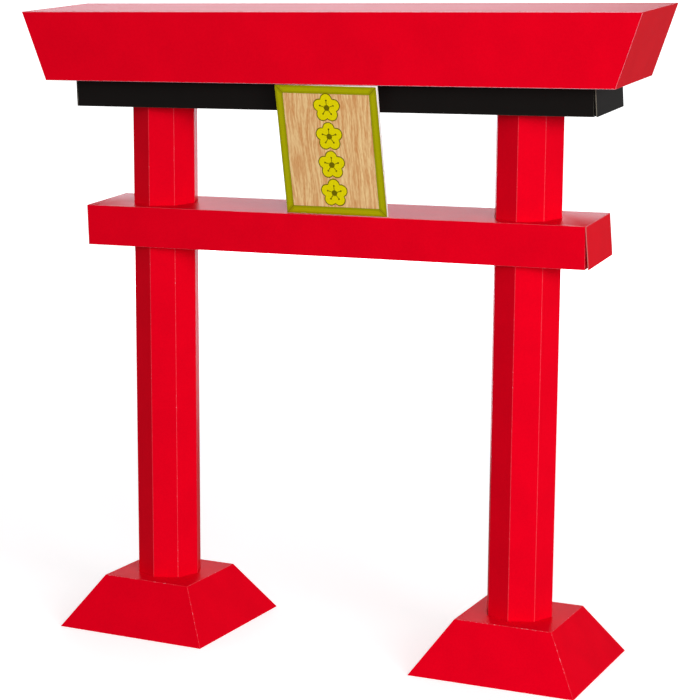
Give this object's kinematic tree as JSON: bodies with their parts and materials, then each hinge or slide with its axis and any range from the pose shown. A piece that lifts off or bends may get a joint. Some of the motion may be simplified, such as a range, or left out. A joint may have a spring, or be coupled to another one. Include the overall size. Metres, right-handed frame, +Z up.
{
  "type": "card model torii gate",
  "caption": "Free-standing torii gate folded from coated card: two octagonal posts on square bases, three box beams and a small leaning plaque.",
  "frame": {"origin": "on the ground, midway between the two posts", "axes": "+X to the right along the beams, -Y is the front with the plaque, +Z up"},
  "size_m": [0.45, 0.1272, 0.4579],
  "materials": {
    "red_card": "semi-gloss coated card, white core at folds and cut edges",
    "black_card": "semi-gloss coated card, pale core at cut edges",
    "plaque_board": "plain white board",
    "plaque_print": "printed sheet: wood grain inside an olive gold frame"
  },
  "bodies": {
    "root": {"top_beam_wrap": "red_card", "top_beam_end_left": "red_card", "top_beam_end_right": "red_card", "black_beam_wrap": "black_card", "black_beam_end_left": "black_card", "black_beam_end_right": "black_card", "tie_beam_wrap": "red_card", "tie_beam_end_left": "red_card", "tie_beam_end_right": "red_card", "post_left": "red_card", "post_right": "red_card", "base_left_skirt": "red_card", "base_left_top": "red_card", "base_left_floor": "red_card", "base_right_skirt": "red_card", "base_right_top": "red_card", "base_right_floor": "red_card", "plaque_board": "plaque_board", "plaque_sheet": "plaque_print"}
  },
  "joints": []
}
